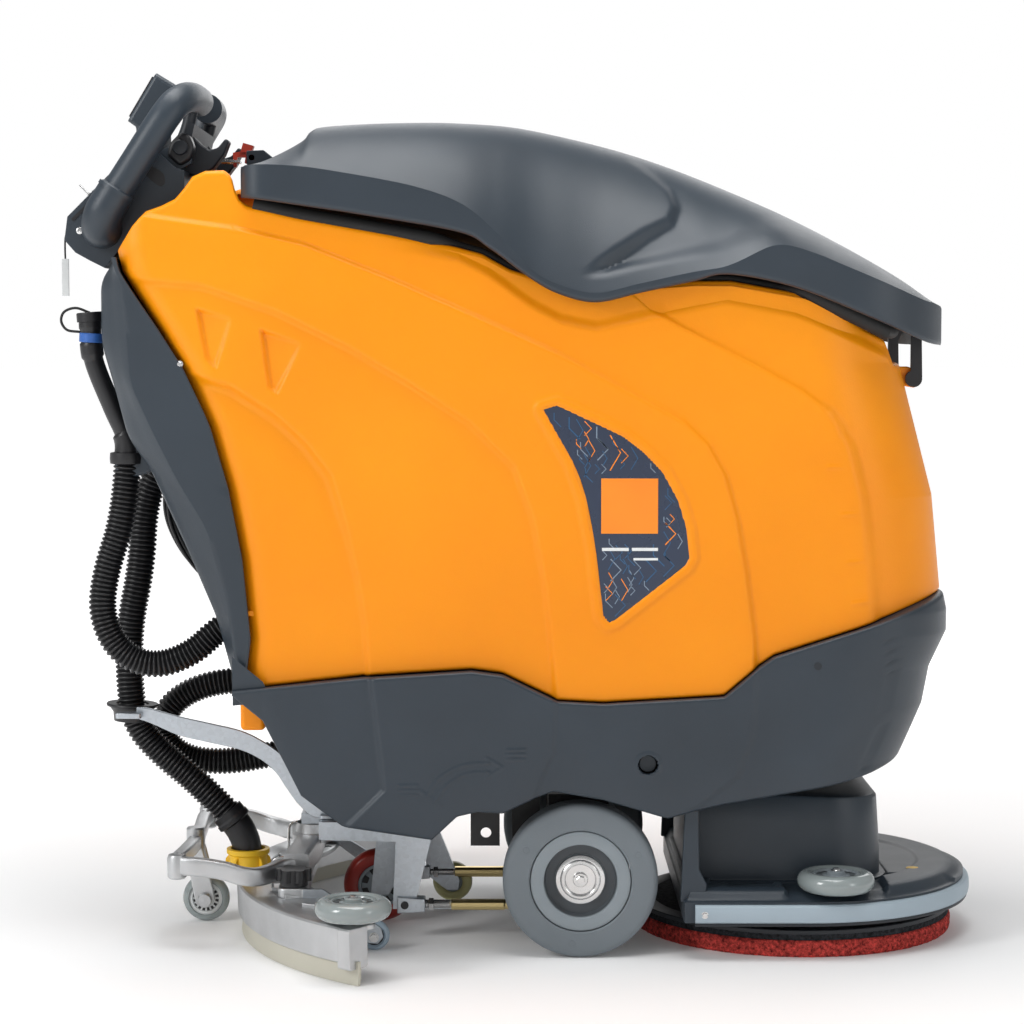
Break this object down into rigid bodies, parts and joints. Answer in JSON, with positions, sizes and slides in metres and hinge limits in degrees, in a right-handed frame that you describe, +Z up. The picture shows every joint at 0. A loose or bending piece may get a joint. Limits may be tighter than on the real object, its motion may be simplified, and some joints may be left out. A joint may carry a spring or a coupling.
{
  "type": "floor scrubber machine",
  "caption": "Walk-behind floor scrubber: tank body on driven wheels, round pad deck in front, curved suction squeegee behind, hinged hood, handlebar console.",
  "frame": {"origin": "on the floor, midway between the two drive wheels, under their axle", "axes": "+X forward to the pad deck, +Y to the machine's left, +Z up"},
  "size_m": [1.2063, 0.756, 1.144],
  "materials": {
    "orange_shell": "satin rotationally moulded polyethylene",
    "slate_cover": "fine grain injection moulded plastic",
    "black_plastic": "satin",
    "light_grey_plastic": "satin",
    "blue_grey_tyre": "solid rubber",
    "blue_grey_rim": "satin",
    "bright_steel": "polished",
    "zinc_steel": "zinc plated",
    "chassis_steel": "black powder coat",
    "motor_metal": "satin",
    "cast_aluminium": "die cast, tumbled",
    "blade_rubber": "translucent off-white",
    "yellow_plastic": "satin",
    "red_plastic": "satin",
    "red_wheel": "polyurethane",
    "olive_wheel": "polyurethane",
    "clear_wheel": "translucent polyurethane",
    "red_pad": "coarse non-woven fibre",
    "hose_black": "corrugated",
    "seal_black": "foam seal",
    "battery_case": "satin",
    "recovery_grey": "satin",
    "white_plastic": "satin",
    "green_plastic": "satin"
  },
  "bodies": {
    "chassis": {"base_skirt": "slate_cover", "battery_pack": "battery_case", "body_screws": "bright_steel", "cable_bundle": "hose_black", "chassis_frame": "chassis_steel", "console_housing": "slate_cover", "deck_actuator": "motor_metal", "display_unit": "slate_cover", "drain_hose": "hose_black", "drain_hose_end": "black_plastic", "drive_unit": "motor_metal", "front_cover": "slate_cover", "handlebar": "slate_cover", "key_tag": "white_plastic", "key_tether": "hose_black", "lid_seal": "seal_black", "lock_bar": "bright_steel", "rear_panel": "slate_cover", "recovery_tank": "recovery_grey", "solution_tank": "orange_shell", "suction_hose": "hose_black", "suction_motor": "motor_metal", "vacuum_hose": "hose_black"},
    "left_wheel": {"left_tyre": "blue_grey_tyre", "left_rim": "blue_grey_rim", "left_hub_cap": "bright_steel"},
    "right_wheel": {"right_tyre": "blue_grey_tyre", "right_rim": "blue_grey_rim", "right_hub_cap": "bright_steel"},
    "hood": {"hood_shell": "slate_cover", "hood_hinge_straps": "black_plastic"},
    "hook": {"hood_hook": "red_plastic"},
    "deck": {"deck_housing": "slate_cover", "deck_bumper": "light_grey_plastic", "brush_motor": "motor_metal", "actuator_rod": "bright_steel"},
    "pad_drive": {"pad_holder": "black_plastic", "floor_pad": "red_pad"},
    "left_deck_roller_body": {"left_deck_roller": "clear_wheel"},
    "right_deck_roller_body": {"right_deck_roller": "clear_wheel"},
    "caster": {"caster_fork": "zinc_steel"},
    "caster_wheel_body": {"caster_wheel": "red_wheel"},
    "tow": {"tow_frame": "zinc_steel", "hose_arm": "zinc_steel"},
    "guide_wheel_body": {"guide_wheel": "olive_wheel"},
    "squeegee": {"squeegee_carrier": "cast_aluminium", "squeegee_body": "cast_aluminium", "squeegee_blades": "blade_rubber", "suction_coupling": "yellow_plastic"},
    "left_knob": {"left_star_knob": "black_plastic"},
    "right_knob": {"right_star_knob": "black_plastic"},
    "left_squeegee_roller_body": {"left_squeegee_roller": "clear_wheel"},
    "right_squeegee_roller_body": {"right_squeegee_roller": "clear_wheel"},
    "rear_wheel_body": {"squeegee_rear_wheel": "clear_wheel"},
    "left_support_body": {"left_support_wheel": "clear_wheel"},
    "right_support_body": {"right_support_wheel": "clear_wheel"},
    "paddle": {"drive_paddle": "black_plastic"},
    "button": {"start_button": "green_plastic"},
    "key": {"key_switch": "black_plastic"},
    "cap": {"drain_cap": "black_plastic"}
  },
  "joints": [
    {"name": "left_wheel_spin", "type": "hinge", "parent": "chassis", "child": "left_wheel", "pos_m": [0, 0.194, 0.1], "axis": [0, 1, 0], "continuous": true},
    {"name": "right_wheel_spin", "type": "hinge", "parent": "chassis", "child": "right_wheel", "pos_m": [0, -0.194, 0.1], "axis": [0, 1, 0], "continuous": true},
    {"name": "hood_hinge", "type": "hinge", "parent": "chassis", "child": "hood", "pos_m": [0.438, 0, 0.742], "axis": [0, 1, 0], "range_deg": [0, 72]},
    {"name": "hood_hook_turn", "type": "hinge", "parent": "hood", "child": "hook", "pos_m": [-0.436, 0, 1.036], "axis": [0, 1, 0], "range_deg": [-5, 60]},
    {"name": "deck_lift", "type": "slide", "parent": "chassis", "child": "deck", "axis": [0, 0, 1], "range_m": [0, 0.045]},
    {"name": "pad_spin", "type": "hinge", "parent": "deck", "child": "pad_drive", "pos_m": [0.293, 0, 0], "axis": [0, 0, 1], "continuous": true},
    {"name": "left_deck_roller_spin", "type": "hinge", "parent": "deck", "child": "left_deck_roller_body", "pos_m": [0.33, 0.196, 0.097], "axis": [0, 0, 1], "continuous": true},
    {"name": "right_deck_roller_spin", "type": "hinge", "parent": "deck", "child": "right_deck_roller_body", "pos_m": [0.33, -0.196, 0.097], "axis": [0, 0, 1], "continuous": true},
    {"name": "caster_swivel", "type": "hinge", "parent": "chassis", "child": "caster", "pos_m": [-0.233, 0, 0.13], "axis": [0, 0, 1], "continuous": true},
    {"name": "caster_wheel_spin", "type": "hinge", "parent": "caster", "child": "caster_wheel_body", "pos_m": [-0.268, 0, 0.05], "axis": [0, 1, 0], "continuous": true},
    {"name": "squeegee_lift", "type": "hinge", "parent": "chassis", "child": "tow", "pos_m": [-0.07, 0, 0.045], "axis": [0, 1, 0], "range_deg": [0, 9], "deforming": ["suction_hose"]},
    {"name": "guide_wheel_spin", "type": "hinge", "parent": "tow", "child": "guide_wheel_body", "pos_m": [-0.172, 0.124, 0.028], "axis": [0, 1, 0], "continuous": true},
    {"name": "squeegee_swing", "type": "hinge", "parent": "tow", "child": "squeegee", "pos_m": [-0.358, 0, 0.13], "axis": [0, 0, 1], "range_deg": [-14, 14], "deforming": ["suction_hose"]},
    {"name": "left_knob_turn", "type": "hinge", "parent": "squeegee", "child": "left_knob", "pos_m": [-0.372, 0.165, 0.095], "axis": [0, 0, 1], "continuous": true},
    {"name": "right_knob_turn", "type": "hinge", "parent": "squeegee", "child": "right_knob", "pos_m": [-0.372, -0.165, 0.095], "axis": [0, 0, 1], "continuous": true},
    {"name": "left_squeegee_roller_spin", "type": "hinge", "parent": "squeegee", "child": "left_squeegee_roller_body", "pos_m": [-0.285, 0.33, 0.091], "axis": [0, 0, 1], "continuous": true},
    {"name": "right_squeegee_roller_spin", "type": "hinge", "parent": "squeegee", "child": "right_squeegee_roller_body", "pos_m": [-0.285, -0.33, 0.091], "axis": [0, 0, 1], "continuous": true},
    {"name": "squeegee_rear_wheel_spin", "type": "hinge", "parent": "squeegee", "child": "rear_wheel_body", "pos_m": [-0.506, 0, 0.032], "axis": [0, 1, 0], "continuous": true},
    {"name": "left_support_wheel_spin", "type": "hinge", "parent": "squeegee", "child": "left_support_body", "pos_m": [-0.267, 0.171, 0.02], "axis": [0, 1, 0], "continuous": true},
    {"name": "right_support_wheel_spin", "type": "hinge", "parent": "squeegee", "child": "right_support_body", "pos_m": [-0.267, -0.171, 0.02], "axis": [0, 1, 0], "continuous": true},
    {"name": "drive_paddle_turn", "type": "hinge", "parent": "chassis", "child": "paddle", "pos_m": [-0.512, 0, 1.034], "axis": [0, 1, 0], "range_deg": [-12, 12], "stiffness_Nm_per_rad": 1.5},
    {"name": "start_button_press", "type": "slide", "parent": "chassis", "child": "button", "axis": [0.7071, 0, -0.7071], "range_m": [0, 0.003], "stiffness_N_per_m": 300},
    {"name": "key_turn", "type": "hinge", "parent": "chassis", "child": "key", "pos_m": [-0.63375, -0.118, 0.97725], "axis": [-0.7071, 0, 0.7071], "range_deg": [0, 90]},
    {"name": "drain_cap_pull", "type": "slide", "parent": "chassis", "child": "cap", "axis": [-0.0782, 0, 0.9969], "range_m": [0, 0.03]}
  ]
}
